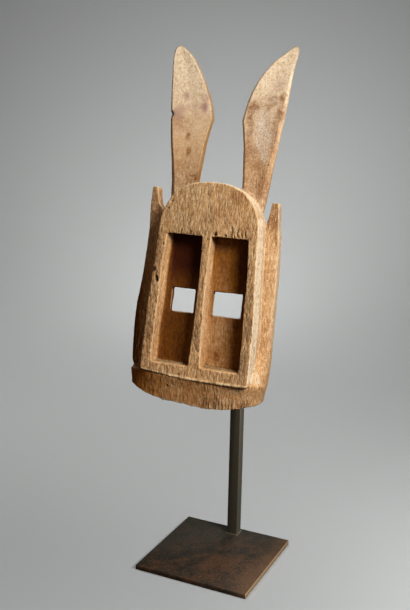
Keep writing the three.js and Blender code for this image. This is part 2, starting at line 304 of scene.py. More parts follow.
# Pits and holes: x, y and z of their middle, radius and depth
PITS = (
    (-66.3, 0, 127.6, 1.9, 3.2),
    (-61.8, 0, 117.6, 1.7, 3.4),
    (-60.9, 0, 114.9, 1.9, 3.4),
    (67, 13.1, 146.2, 1.2, 3.0),
    (-33.2, 2.6, -15.6, 1.3, 2.2),
    (10.8, 0, 177.5, 1.7, 2.6),
    (-45, 2.6, -20, 1.0, 1.6),
    (40.2, 18.3, 66.7, 1.1, 1.2),
    (58.5, 30.3, 269.1, 0.9, 1.0),
    (-79, 34, 327.5, 2.6, 1.6),
    (-51, 0, 214, 1.1, 1.4),
    (-55, 0, 205, 1.0, 1.2),
    (24, 0, 176.5, 1.4, 2.2),
    (-2, 0, 50, 1.2, 1.0),
    (2, 0, 64, 1.1, 1.0),
)


def pit_depth(p):
    depth = np.zeros(len(p))
    for x, y, z, radius, deep in PITS:
        d2 = (p[:, 0] - x) ** 2 + (p[:, 1] - y) ** 2 * 0.6 + ((p[:, 2] - z) * 0.8) ** 2
        depth = np.maximum(depth, deep * np.exp(-((d2 / radius**2) ** 1.4)))
    return depth


def bite_depth(p, n):
    """The shallow bite out of the lower rim, with a sharp end to the right."""
    x, y, z = p.T
    splintered = 0.7 + 0.6 * clouds(p, (2.2, 6, 6), 61)
    reach = smooth(-30, -26, x) * (1 - smooth(-5.2, -4, x)) * (1 - smooth(RIM + 2, RIM + 4, z))
    return 2.0 * reach * splintered * smooth(0.1, 0.6, -n[:, 2])


def notch_depth(p):
    """The dark nick in the left ear's outer edge."""
    return 1.3 * np.exp(-(((p[:, 2] - 327.5) / 3.2) ** 2 + ((p[:, 0] + 79.8) / 4) ** 2) ** 1.2)


def wear(p, edge, crease, where):
    """How far each point is drawn to the rounded form: arrises rubbed round, inner corners full of dirt."""
    rubbed = 0.25 + 0.5 * rough(p, (9, 9, 16), 41, 2)
    rubbed *= (1 - 0.5 * where["channel"] - 0.6 * where["ear"]) * (1 - 0.9 * where["lug"])
    return edge * rubbed + crease * (0.1 + 0.3 * where["channel"] + 0.5 * where["chin"])


def relief(p, n, edge, where):
    """How far each point lies below the clean form in millimetres, how dark its splits and holes are
    painted as shade, and how dirty in grooves."""
    grain = open_grain(where)
    opened = split_depth(p, splits_on_front(), where["face"])
    opened = np.maximum(opened, split_depth(p, splits_on_chin(), where["chin"]))
    fine = rows(p, 1.8, 8, 3)
    wide = rows(p, 5.5, 45, 5)
    groove = smooth(0.46, 0.26, fine) * smooth(0.3, 0.6, rough(p, (14, 14, 26), 51, 2))
    depth = opened + grain * (0.35 * groove - 0.15 * smooth(0.55, 0.78, fine) + 0.4 * (wide - 0.5))
    gouged = where["bars"] * smooth(0.62, 0.8, rough(p, (3.2, 3.2, 5.5), 7, 2))
    gouged += 0.5 * where["chin"] * smooth(0.6, 0.8, rough(p, (4, 4, 9), 9, 2))
    depth += 0.6 * gouged
    depth -= 1.9 * where["chin"] * smooth(-18, -3, p[:, 2])
    depth += rough(p, (46, 46, 60), 21, 2) - 0.45 + 0.5 * (rough(p, (13, 13, 22), 23, 2) - 0.5)
    depth += where["inside"] * 2.2 * (1 - scoops(p, (17, 17, 34), 31))
    depth += where["channel"] * 0.6 * (1 - scoops(p, (12, 12, 26), 35))
    depth += where["flank"] * np.where(p[:, 0] < 0, 0.6, 0.3) * (0.7 - scoops(p, (19, 19, 46), 37))
    chips = smooth(0.68, 0.8, rough(p, (4, 4, 6), 43, 2)) * (1 - 0.7 * where["ear"])
    chips *= 1 - where["channel"]
    depth += edge * chips * (0.5 + 0.8 * (1 - smooth(-22, -8, p[:, 2])))
    depth *= 1 - 0.75 * where["lug"]
    depth += bite_depth(p, n)
    holes = pit_depth(p) + notch_depth(p)
    # Painted shade: splits and holes are coloured dark as far as they are deep.
    black = 0.45 * smooth(0.2, 0.9, opened) + 0.45 * smooth(0.9, 1.8, opened) + holes / 1.2
    return depth + holes, black, 0.6 * grain * groove + 0.6 * gouged


def pale_lines(p, where):
    """Pale lines along the edge of the brow, the box's lower edge and the rim's left: rubbed wear, with
    painted highlight along the brow and the box's lower edge.
    """
    x, y, z = p.T
    t = (BOX_HALF - x) / (2 * BOX_HALF)
    lip = -2.4 + 3.4 * t - 9.2 * t * (1 - t)
    rim = np.interp(x, (-86, -63, -39, -8, 20), (-22, -29, -33.5, -35, -36.5)) - 1.1
    broken = 0.4 + 0.6 * smooth(0.3, 0.6, rough(p, (6, 6, 6), 67, 2))
    along_lip = band(lip - 1, lip + 2.0, 0.6, z) * (y < 2.5) * (np.abs(x) < BOX_HALF - 0.5)
    along_rim = (1 - smooth(rim + 1.2, rim + 2.6, z)) * where["chin"] * (1 - smooth(-8, 20, x))
    brow_round = (np.abs(x) / 65) ** 2.35 + (np.maximum(z - 176, 0) / 65) ** 2.35
    along_brow = band(0.95, 1.2, 0.03, brow_round) * (y < 3) * smooth(195, 215, z)
    return broken * (0.9 * along_lip + 0.85 * along_rim + 0.8 * along_brow)


def drop_crumbs(obj):
    """Keeps the largest connected part, so that no splinter floats beside the one carved piece."""
    bm = bmesh.new()
    bm.from_mesh(obj.data)
    left, parts = set(bm.verts), []
    while left:
        start = left.pop()
        part, front = [start], [start]
        while front:
            vert = front.pop()
            near = {edge.other_vert(vert) for edge in vert.link_edges} & left
            left -= near
            part.extend(near)
            front.extend(near)
        parts.append(part)
    parts.sort(key=len)
    bmesh.ops.delete(bm, geom=[vert for part in parts[:-1] for vert in part], context="VERTS")
    bm.to_mesh(obj.data)
    bm.free()
    return obj


def carve_mask():
    obj = node_copy("mask", "mask_wood")
    even = obj.modifiers.new("even", "REMESH")
    even.mode = "VOXEL"
    even.voxel_size = FINEST
    settle(obj)
    mesh = obj.data
    edges = links(mesh)
    put(mesh, even_out(places(mesh), edges, 4))
    world, normal = places(mesh), outward(mesh)
    p, n = in_mask_frame(mesh)
    where = regions(p, n)
    round_form = relax(world, edges, ROUNDING_STEPS)
    bulge = ((world - round_form) * normal).sum(1)[:, None] * 1000
    bulge = relax(bulge, edges, 2)[:, 0]
    edge, crease = smooth(0.25, 1.1, bulge), smooth(0.25, 1.1, -bulge)
    pull = round_form - world
    away = np.maximum(np.linalg.norm(pull, axis=1), 1e-9)
    pull *= np.minimum(1, ROUNDING / away)[:, None]
    faceting = where["ear"] * (1 - smooth(0.1, 0.3, bulge))
    world = world + (round_form - world) * (0.9 * faceting)[:, None]
    world = world + pull * wear(p, edge, crease, where)[:, None]
    depth, black, dirt = relief(p, n, edge, where)
    world = world - normal * (depth / 1000)[:, None]
    low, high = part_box("mask")
    put(mesh, np.clip(world, low, high))

    # Rubbed edges are paler, the more so where they face right and up: painted highlight on top of the
    # wear.
    toward_light = 0.2 + 0.8 * smooth(-0.1, 0.5, 0.5 * n[:, 0] + 0.9 * n[:, 2])
    behind = (np.abs(p[:, 0]) < FACE_WALL_HALF) * smooth(CHANNEL_DEEP, CHANNEL_DEEP + 5, p[:, 1])
    rubbed = edge * toward_light * (1 - 0.8 * where["ear"]) * (1 - 0.85 * behind)
    rubbed = np.maximum(rubbed, pale_lines(p, where))
    # Painted shade in the inner corners, strongest in the channels and the hollow.
    crease_shade = crease * (0.2 + 0.8 * np.clip(where["channel"] + where["inside"], 0, 1))
    inner = (p[:, 0] < 0) * smooth(0.2, 0.7, n[:, 0])
    rim = where["ear"] * np.maximum(edge, inner)
    found = {"edge": rubbed, "crease": crease_shade, "split": black, "dirt": dirt, "rim": rim}
    for name, values in found.items():
        keep(mesh, name, values)
    slim = obj.modifiers.new("slim", "DECIMATE")
    slim.ratio = min(1.0, MOST_TRIANGLES / (2 * len(mesh.polygons)))
    return drop_crumbs(settle(obj))


# Stains on the front of the ears: kind, middle x and z, half width, half height and strength
EAR_STAINS = (
    ("mauve", -60.6, 351, 3.4, 6.5, 0.9),
    ("mauve", -33.8, 338, 4.6, 6, 1.0),
    ("mauve", -68, 331, 8, 9, 0.6),
    ("mauve", -30, 352, 8, 6, 0.5),
    ("mauve", -52, 338, 9, 6, 0.35),
    ("mauve", 60, 368, 8, 8, 0.4),
    ("brown", -51.9, 300, 4, 6, 0.9),
    ("brown", -49.3, 280, 3.4, 7, 0.85),
    ("brown", -38, 247.5, 11, 3.5, 1.0),
    ("brown", -31, 252, 5, 7, 0.7),
    ("brown", -55, 262, 12, 10, 0.35),
    ("brown", -62, 316, 12, 12, 0.4),
    ("brown", -76, 290, 3, 34, 0.5),
    ("brown", 46, 341, 13, 6.5, 0.65),
    ("brown", 33, 339, 7, 9, 0.8),
    ("brown", 58, 348, 12, 9, 0.6),
    ("brown", 66, 352, 6, 6, 0.85),
    ("brown", 67, 336, 6, 18, 0.65),
    ("brown", 27.5, 332, 4, 12, 0.9),
    ("brown", 62, 306, 5, 26, 0.8),
    ("brown", 30, 300, 4, 30, 0.7),
    ("brown", 38, 285, 8, 8, 0.8),
    ("brown", 44, 268, 10, 8, 0.5),
    ("brown", 55, 246, 7, 18, 0.45),
    ("scratched", 47, 306, 17, 27, 0.6),
    ("scratched", 44, 318, 10, 12, 0.9),
    ("scratched", 44, 330, 14, 9, 0.5),
    ("scratched", 52, 284, 7, 14, 0.6),
    ("scratched", 50, 350, 10, 7, 0.4),
)

# Marks on the face and the chin, in the same order
FACE_STAINS = (
    ("soot", 65, 67, 6, 14, 0.8),
    ("soot", 62, 24, 7, 17, 0.8),
    ("soot", 64, 103, 5, 15, 0.6),
    ("soot", 0.4, 55, 6, 15, 0.7),
    ("soot", -2, 92, 5, 20, 0.4),
    ("soot", -67.6, 53, 5, 17, 0.5),
    ("soot", -66, 150, 5, 22, 0.4),
    ("soot", 0, 195, 8, 14, 0.45),
    ("brown", 38, 224, 15, 9, 0.6),
    ("brown", 20, 206, 18, 12, 0.35),
    ("brown", 48, 188, 8, 10, 0.35),
    ("brown", -50, 215, 3, 4, 0.5),
    ("brown", -55, 188, 6, 18, 0.35),
    ("brown", 30, -15, 30, 12, 0.3),
)

# Marks in the channels
CHANNEL_STAINS = (
    ("brown", 22, 29, 5, 9, 0.9),
    ("brown", 42, 67, 8, 16, 0.35),
    ("brown", -38, 139.5, 9, 20, 0.5),
    ("soot", 52, 28, 5, 20, 0.5),
)


def stain(p, x, z, wide, high):
    """A patch round a place, with a wandering outline."""
    wander = 0.5 * (rough(p, (7, 7, 7), 71) - 0.5)
    d = ((p[:, 0] - x) / wide) ** 2 + ((p[:, 2] - z) / high) ** 2
    return smooth(1.5, 0.35, np.sqrt(d) + 2.2 * wander)


def round_eye(p, low, high):
    """A dark line of dirt along the edges of an eye hole, strongest below it."""
    off_side = np.maximum(low - p[:, 0], p[:, 0] - high)
    off_end = np.maximum(EYE_LOW - p[:, 2], p[:, 2] - EYE_HIGH)
    return smooth(2.6, 0.6, np.maximum(off_side, off_end)) * (0.6 + 0.4 * (p[:, 2] < EYE_LOW + 1.3))


def weather_mask(obj):
    """Stores where the wood has patina and painted shade, where it is pale or painted with highlights,
    where it is aged or painted with shade, where it is dusty or stained, and how open its grain is.
    """
    mesh = obj.data
    p, n = in_mask_frame(mesh)
    where = regions(p, n)
    x, y, z = p.T
    ahead = smooth(0.0, 0.6, -n[:, 1])
    left, right = x < RIDGE_MIDDLE, x >= RIDGE_MIDDLE
    faces_right, faces_up = smooth(0.3, 0.85, n[:, 0]), smooth(0.3, 0.85, n[:, 2])

    floor = smooth(11, 17, y) * where["channel"]
    upper = smooth(60, 150, z)
    # Painted shadow of the ridge, the stiles and the brow on the channel floors, over a darker patina: deep
    # over most of the left floor, and in the right one growing towards the top and the right wall.
    left_floor_shadow = 0.76 + 0.22 * smooth(105, 145, z) * smooth(-60, -44, x)
    left_floor_shadow -= 0.2 * smooth(-34, -14, x) * (1 - upper)
    floor_shadow = np.where(left, left_floor_shadow, 0.3 + 0.26 * upper + 0.3 * smooth(22, 50, x))
    patina_and_painted_shade = floor * floor_shadow
    # The hollow behind the face: patina and painted shade.
    patina_and_painted_shade += 0.5 * where["inside"]
    # Painted shade on the left flank, which faces away from the light, deepest low down.
    patina_and_painted_shade += where["flank"] * smooth(0, 0.5, -n[:, 0]) * left * (0.92 - 0.72 * smooth(30, 190, z))
    # Painted shade on the chin, growing towards its left, with patina.
    patina_and_painted_shade += where["chin"] * (0.12 + 0.2 * smooth(40, 0, x) + 0.3 * smooth(-25, -80, x))

    # Painted highlight: the box's right side, the tops of the brow and the right flank face the light and
    # are made pale. The ears are pale wood, paler towards their tips.
    box_side = faces_right * right * (y < 22) * smooth(0, 4, z)
    box_side *= (1 - where["ear"]) * (1 - where["channel"])
    brow_top = faces_up * (y < 30) * (z > 190) * (1 - where["ear"])
    pale_and_painted_highlight = where["ear"] * (0.15 + 0.75 * smooth(265, 390, z))
    pale_and_painted_highlight += (0.9 - 0.2 * smooth(40, 110, z)) * box_side * (np.abs(x) > 62) + brow_top
    pale_and_painted_highlight += 0.35 * where["flank"] * faces_right * right * smooth(10, 90, z)

    age_and_painted_shade = where["bars"] * (0.18 + 0.34 * (1 - smooth(-58, -52, x)))
    age_and_painted_shade += where["chin"] * 0.35 + where["ear"] * (1 - smooth(215, 300, z))
    # The left flank, which faces away from the light, is made darker than the right: painted shade.
    age_and_painted_shade += where["flank"] * (left * 0.5 + right * (0.1 + 0.25 * smooth(150, 200, z)))
    age_and_painted_shade += where["channel"] * (1 - floor) * (0.15 + 0.4 * (1 - smooth(20, 120, z))) + 0.4 * where["lug"]
    dust = where["channel"] * faces_up + 0.3 * where["brow"] * (1 - smooth(-30, 10, x))

    grain = open_grain(where) + 0.35 * where["ear"] * (1 - smooth(235, 310, z))
    looks = {"patina_and_painted_shade": patina_and_painted_shade, "pale_and_painted_highlight": pale_and_painted_highlight, "age_and_painted_shade": age_and_painted_shade, "dust": dust, "grain": grain}
    looks.update({kind: np.zeros(len(p)) for kind in ("brown", "mauve", "soot", "scratched")})
    fronts = (
        (EAR_STAINS, where["ear"] * ahead),
        (FACE_STAINS, where["face"] + where["chin"]),
        (CHANNEL_STAINS, floor),
    )
    for marks, area in fronts:
        for kind, across, height, wide, high, strength in marks:
            looks[kind] = np.maximum(looks[kind], strength * area * stain(p, across, height, wide, high))
    for sides in EYES:
        looks["soot"] = np.maximum(looks["soot"], floor * round_eye(p, *sides))
    for name, values in looks.items():
        keep(mesh, name, values)


# Small helpers for materials
def colour(hex_text):
    """An sRGB hex value as a linear colour."""
    parts = [int(hex_text[i : i + 2], 16) / 255 for i in (1, 3, 5)]
    return [c / 12.92 if c <= 0.04045 else ((c + 0.055) / 1.055) ** 2.4 for c in parts] + [1.0]


def per_mm(size):
    """The texture scale that gives a noise cells of that many millimetres."""
    return 1000 / size


def new_material(name):
    mat = bpy.data.materials.new(name)
    mat.use_nodes = True
    tree = mat.node_tree
    tree.nodes.clear()
    return mat, tree


def add(tree, kind, settings=None, sockets=None, out=0):
    """Adds a node with its settings, gives each socket a value or a link, and returns one output."""
    node = tree.nodes.new(kind)
    for name, value in (settings or {}).items():
        setattr(node, name, value)
    for name, value in (sockets or {}).items():
        if isinstance(value, bpy.types.NodeSocket):
            tree.links.new(value, node.inputs[name])
        else:
            node.inputs[name].default_value = value
    return node.outputs[out] if node.outputs else None


def lay_coats(tree, patterns, ground, coats):
    """Lays coats of colour over each other. Each shows where its pattern goes from low to high, as strongly
    as its share says, and where a second pattern is named, only as far as that one goes."""
    for name, low, high, share, tint, within in coats:
        ends = {"Value": patterns[name], "From Min": low, "From Max": high, "To Max": share}
        amount = add(tree, "ShaderNodeMapRange", None, ends)
        if within:
            both = {0: amount, 1: patterns[within]}
            amount = add(tree, "ShaderNodeMath", {"operation": "MULTIPLY"}, both)
        mixed = {0: amount, 6: ground, 7: colour(tint)}
        ground = add(tree, "ShaderNodeMix", {"data_type": "RGBA"}, mixed, out=2)
    return ground


def old_hardwood():
    """Dry hardwood, hand-cut and weathered: matt, warm tan, with open grain, dirt in the grooves, painted
    shade in the splits, holes, inner corners and channels and on the left flank, and paler wood where
    hands and time have rubbed the edges, with painted highlight where the wood faces the light."""
    mat, tree = new_material("weathered hardwood")
    place = add(tree, "ShaderNodeTexCoord", out=3)
    to_mask = {"Vector": place, "Location": MASK_AT, "Rotation": MASK_TURN}
    here = add(tree, "ShaderNodeMapping", {"vector_type": "TEXTURE"}, to_mask)
    fibre = add(tree, "ShaderNodeMapping", None, {"Vector": here, "Scale": (1, 1, 0.19)})
    flake = add(tree, "ShaderNodeMapping", None, {"Vector": here, "Scale": (1, 1, 0.45)})
    aslant = {"Vector": here, "Rotation": (0, 0.9, 0), "Scale": (1, 1, 0.12)}
    scuff = add(tree, "ShaderNodeMapping", None, aslant)
    patterns = {}
    for name, vector, size, detail, roughness in (
        ("broad", here, 60, 3, 0.55),
        ("patches", here, 15, 4, 0.6),
        ("streaks", fibre, 1.8, 3, 0.6),
        ("hairs", fibre, 1.2, 2, 0.6),
        ("grit", flake, 2.6, 3, 0.7),
        ("specks", here, 1.8, 3, 0.7),
        ("scuffs", scuff, 1.3, 3, 0.7),
        ("blots", here, 4.5, 4, 0.7),
    ):
        sockets = {"Vector": vector, "Scale": per_mm(size), "Detail": float(detail), "Roughness": roughness}
        patterns[name] = add(tree, "ShaderNodeTexNoise", None, sockets)
    for name in (
        "grain", "edge", "crease", "split", "dirt", "rim", "patina_and_painted_shade",
        "pale_and_painted_highlight", "age_and_painted_shade", "dust", "brown", "mauve", "soot", "scratched",
    ):
        patterns[name] = add(tree, "ShaderNodeAttribute", {"attribute_name": name}, out=2)
    mottle = {"Value": patterns["blots"], "From Min": 0.42, "From Max": 0.58}
    patterns["mottle"] = add(tree, "ShaderNodeMapRange", None, mottle)

    ground = lay_coats(tree, patterns, colour("#BC8D5A"), (
        ("broad", 0.35, 0.65, 1.0, "#CCA272", None),
        ("patches", 0.5, 0.72, 0.3, "#94643A", None),
        # Aged, darker wood; on the left flank it is painted shade.
        ("age_and_painted_shade", 0.0, 1.0, 0.9, "#8A5C34", None),
        ("dust", 0.0, 1.0, 0.9, "#6E5A38", None),
        ("mottle", 0.4, 0.9, 0.6, "#6B4423", "age_and_painted_shade"),
        # Pale ears, and painted highlight where the wood faces the light.
        ("pale_and_painted_highlight", 0.0, 1.0, 0.95, "#ECDCC3", None),
        ("blots", 0.5, 0.62, 0.65, "#C2A274", "pale_and_painted_highlight"),
        ("blots", 0.46, 0.36, 0.6, "#F8F1E4", "pale_and_painted_highlight"),
        ("specks", 0.53, 0.64, 0.4, "#9C7A54", "pale_and_painted_highlight"),
        ("blots", 0.45, 0.35, 0.45, "#E0C090", "grain"),
        ("blots", 0.55, 0.66, 0.4, "#8A5A32", "grain"),
        ("streaks", 0.54, 0.68, 0.55, "#EBD3AA", "grain"),
        ("streaks", 0.46, 0.34, 0.5, "#855732", "grain"),
        ("hairs", 0.55, 0.68, 0.6, "#6F4523", "grain"),
        ("hairs", 0.45, 0.33, 0.5, "#F0DDBB", "grain"),
        ("grit", 0.6, 0.72, 0.7, "#5E3A1B", "grain"),
        ("grit", 0.42, 0.32, 0.5, "#EDD9B4", "grain"),
        ("dirt", 0.1, 1.0, 0.7, "#65411F", None),
        ("specks", 0.55, 0.68, 0.4, "#A0744B", None),
        ("specks", 0.45, 0.34, 0.3, "#F2E4CC", None),
        ("soot", 0.0, 1.0, 0.7, "#584634", "specks"),
        ("soot", 0.0, 1.0, 0.4, "#57432F", None),
        ("brown", 0.0, 1.0, 0.6, "#94602F", None),
        ("brown", 0.2, 1.0, 0.9, "#754220", "mottle"),
        ("mauve", 0.0, 1.0, 0.75, "#9B6C73", None),
        ("scratched", 0.0, 0.6, 0.5, "#B79A7E", None),
        ("scratched", 0.4, 1.0, 0.7, "#E6DBCD", None),
        ("mottle", 0.3, 0.9, 0.35, "#A98A6C", "scratched"),
        ("specks", 0.5, 0.4, 0.6, "#F4EDE2", "scratched"),
        ("specks", 0.52, 0.62, 0.55, "#805C3E", "scratched"),
        ("scuffs", 0.55, 0.66, 0.4, "#F1E9DE", "scratched"),
        ("rim", 0.1, 0.9, 0.8, "#7A5830", None),
        # Patina and painted shade: golden brown, near black where the painted shadow is deepest.
        ("patina_and_painted_shade", 0.05, 0.6, 0.95, "#7E4A0A", None),
        ("patches", 0.45, 0.6, 0.55, "#A2640E", "patina_and_painted_shade"),
        ("mottle", 0.4, 0.9, 0.45, "#542C08", "patina_and_painted_shade"),
        ("grit", 0.53, 0.66, 0.6, "#3A1A08", "patina_and_painted_shade"),
        ("grit", 0.46, 0.34, 0.35, "#AA7228", "patina_and_painted_shade"),
        ("patina_and_painted_shade", 0.55, 0.95, 0.97, "#360F03", None),
        ("streaks", 0.5, 0.4, 0.5, "#44200A", "patina_and_painted_shade"),
        # Painted shade in the inner corners.
        ("crease", 0.1, 1.0, 0.6, "#3C1D05", None),
        # Pale rubbed edges, with painted highlight where they face the light and along the brow and the
        # lip.
        ("edge", 0.1, 1.0, 0.75, "#EBD2A8", None),
        # Painted shade in the splits and holes.
        ("split", 0.0, 1.0, 0.85, "#2A1407", None),
    ))
    height = patterns["streaks"]
    for name, share in (("grit", -0.8), ("hairs", -0.5)):
        sockets = {0: patterns[name], 1: share, 2: height}
        height = add(tree, "ShaderNodeMath", {"operation": "MULTIPLY_ADD"}, sockets)
    height = add(tree, "ShaderNodeMath", {"operation": "MULTIPLY"}, {0: height, 1: patterns["grain"]})
    sockets = {0: patterns["specks"], 1: 0.15, 2: height}
    height = add(tree, "ShaderNodeMath", {"operation": "MULTIPLY_ADD"}, sockets)
    bump = add(tree, "ShaderNodeBump", None, {"Strength": 0.7, "Distance": 0.0013, "Height": height})
    ends = {"Value": patterns["patches"], "From Min": 0.3, "From Max": 0.7, "To Min": 0.7, "To Max": 0.9}
    dull = add(tree, "ShaderNodeMapRange", None, ends)
    finish = {"Base Color": ground, "Roughness": dull, "Normal": bump, "Specular IOR Level": 0.12}
    surface = add(tree, "ShaderNodeBsdfPrincipled", None, finish)
    add(tree, "ShaderNodeOutputMaterial", None, {"Surface": surface})
    return mat


def black_bar():
    """Hot-rolled square bar, blackened and waxed: olive-black, satin, with faint brown clouds."""
    mat, tree = new_material("blackened steel bar")
    place = add(tree, "ShaderNodeTexCoord", out=3)
    patterns = {}
    for name, size, detail, roughness in (("clouded", 22, 5, 0.65), ("fine", 2, 4, 0.7)):
        sockets = {"Vector": place, "Scale": per_mm(size), "Detail": float(detail), "Roughness": roughness}
        patterns[name] = add(tree, "ShaderNodeTexNoise", None, sockets)
    tone = lay_coats(tree, patterns, colour("#56544A"), (
        ("clouded", 0.4, 0.65, 1.0, "#584D3D", None),
        ("fine", 0.5, 0.75, 0.5, "#3A3730", None),
    ))
    dents = {"Strength": 0.35, "Distance": 0.0004, "Height": patterns["fine"]}
    bump = add(tree, "ShaderNodeBump", None, dents)
    ends = {"Value": patterns["clouded"], "From Min": 0.3, "From Max": 0.7, "To Min": 0.38, "To Max": 0.52}
    shine = add(tree, "ShaderNodeMapRange", None, ends)
    finish = {"Base Color": tone, "Metallic": 0.55, "Roughness": shine, "Normal": bump}
    surface = add(tree, "ShaderNodeBsdfPrincipled", None, finish)
    add(tree, "ShaderNodeOutputMaterial", None, {"Surface": surface})
    return mat


def rusted_plate():
    """Sheet steel with a heat and rust patina under wax: dull dark brown with rust clouds, olive towards
    the back left, and a thin pale line along the right edge that is a painted highlight."""
    mat, tree = new_material("patinated steel plate")
    place = add(tree, "ShaderNodeTexCoord", out=3)
    patterns = {"across": add(tree, "ShaderNodeSeparateXYZ", None, {"Vector": place}, out=0)}
    to_back_left = {0: place, 1: (-0.55, 0.84, 0)}
    along = {"operation": "DOT_PRODUCT"}
    patterns["back_left"] = add(tree, "ShaderNodeVectorMath", along, to_back_left, out=1)
    for name, size, detail, roughness in (
        ("clouded", 45, 5, 0.62),
        ("blots", 12, 6, 0.7),
        ("fine", 3, 4, 0.7),
    ):
        sockets = {"Vector": place, "Scale": per_mm(size), "Detail": float(detail), "Roughness": roughness}
        patterns[name] = add(tree, "ShaderNodeTexNoise", None, sockets)
    right = plate_high.x
    tone = lay_coats(tree, patterns, colour("#2C251D"), (
        ("clouded", 0.43, 0.55, 0.9, "#45301F", None),
        ("blots", 0.5, 0.58, 0.7, "#5C3F29", "clouded"),
        ("blots", 0.48, 0.41, 0.8, "#1F1C18", None),
        ("fine", 0.53, 0.61, 0.65, "#6C4A30", "clouded"),
        ("back_left", -0.02, 0.05, 0.75, "#3A3B35", None),
        ("fine", 0.47, 0.39, 0.55, "#171411", None),
        ("across", right - 0.03, right, 0.75, "#74573B", "clouded"),
        # A thin pale line along the right edge: painted highlight.
        ("across", right - 0.0009, right - 0.0004, 0.9, "#B39777", None),
    ))
    sockets = {0: patterns["blots"], 1: 0.8, 2: patterns["fine"]}
    height = add(tree, "ShaderNodeMath", {"operation": "MULTIPLY_ADD"}, sockets)
    bump = add(tree, "ShaderNodeBump", None, {"Strength": 0.3, "Distance": 0.0005, "Height": height})
    ends = {"Value": patterns["blots"], "From Min": 0.3, "From Max": 0.7, "To Min": 0.5, "To Max": 0.68}
    shine = add(tree, "ShaderNodeMapRange", None, ends)
    finish = {"Base Color": tone, "Metallic": 0.3, "Roughness": shine, "Normal": bump}
    surface = add(tree, "ShaderNodeBsdfPrincipled", None, finish)
    add(tree, "ShaderNodeOutputMaterial", None, {"Surface": surface})
    return mat


def eased(node, name, width):
    """A copy of a steel node with its arrises eased, as a file leaves them."""
    obj = node_copy(node, name)
    bevel = obj.modifiers.new("arris", "BEVEL")
    bevel.width = width
    bevel.segments = 2
    bevel.limit_method = "ANGLE"
    bevel.angle_limit = math.radians(30)
    return settle(obj)


def weld_bead(material):
    """The ripple of weld round the foot of the post: small drops set side by side along its outline."""
    mesh = bpy.data.meshes.new("weld_path")
    half = POST_SIDE / 2
    z = plate_high.z + 0.0003
    ring = [(sx * half, POST_MIDDLE + sy * half, z) for sx, sy in ((-1, -1), (1, -1), (1, 1), (-1, 1))]
    mesh.from_pydata(ring, [(0, 1), (1, 2), (2, 3), (3, 0)], [])
    obj = mesh_object("weld_bead", mesh)
    tree = bpy.data.node_groups.new("weld", "GeometryNodeTree")
    sides = tree.interface
    sides.new_socket("Geometry", in_out="INPUT", socket_type="NodeSocketGeometry")
    sizes = {"Spacing": 0.0014, "Drop radius": 0.0015}
    named = {}
    for label in sizes:
        named[label] = sides.new_socket(label, in_out="INPUT", socket_type="NodeSocketFloat")
    sides.new_socket("Geometry", in_out="OUTPUT", socket_type="NodeSocketGeometry")
    add(tree, "NodeGroupInput")
    start = tree.nodes[0].outputs
    curve = add(tree, "GeometryNodeMeshToCurve", None, {"Mesh": start["Geometry"]})
    line = {"Curve": curve, "Length": start["Spacing"]}
    line = add(tree, "GeometryNodeResampleCurve", {"mode": "LENGTH"}, line)
    drop = add(tree, "GeometryNodeMeshIcoSphere", None, {"Subdivisions": 2, "Radius": start["Drop radius"]})
    uneven = {0: (0.85, 0.85, 0.5), 1: (1.15, 1.15, 0.7), "Seed": 4}
    uneven = add(tree, "FunctionNodeRandomValue", {"data_type": "FLOAT_VECTOR"}, uneven)
    set_down = {"Points": line, "Instance": drop, "Scale": uneven}
    drops = add(tree, "GeometryNodeInstanceOnPoints", None, set_down)
    drops = add(tree, "GeometryNodeRealizeInstances", None, {"Geometry": drops})
    drops = add(tree, "GeometryNodeSetMaterial", None, {"Geometry": drops, "Material": material})
    add(tree, "NodeGroupOutput", None, {"Geometry": drops})
    grow = obj.modifiers.new("weld", "NODES")
    grow.node_group = tree
    for label, size in sizes.items():
        grow[named[label].identifier] = size
    return settle(obj)


def join(first, second):
    bm = bmesh.new()
    bm.from_mesh(first.data)
    bm.from_mesh(second.data)
    bm.to_mesh(first.data)
    bm.free()
    bpy.data.objects.remove(second)
    return first


def paint(obj, material):
    obj.data.materials.clear()
    obj.data.materials.append(material)
    for polygon in obj.data.polygons:
        polygon.material_index = 0
    obj.data.update()


# The pieces
wood = old_hardwood()
bar_steel = black_bar()
plate_steel = rusted_plate()

mask = carve_mask()
weather_mask(mask)
paint(mask, wood)
mask.data.shade_smooth()
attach(mask, "root")
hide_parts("mask")

post = eased("stand_post", "post_steel", 0.0007)
post = join(post, weld_bead(bar_steel))
paint(post, bar_steel)
post.data.shade_smooth()
post.data.set_sharp_from_angle(angle=math.radians(35))
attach(post, "root")
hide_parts("stand_post")

plate = eased("base_plate", "plate_steel", 0.0005)
paint(plate, plate_steel)
plate.data.shade_smooth()
plate.data.set_sharp_from_angle(angle=math.radians(35))
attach(plate, "root")
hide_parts("base_plate")


# The room: a round paper floor whose rim curves up, so that every view has paper behind the object
FLOOR_REACH = 0.9                   # metres, like the next three
WALL_AT = 2.9
WALL_TOP = 4.0
BELOW_PLATE = 0.0002
AROUND = 96                         # points in each ring
BEND_STEPS = 16                     # rings from the floor up to the wall


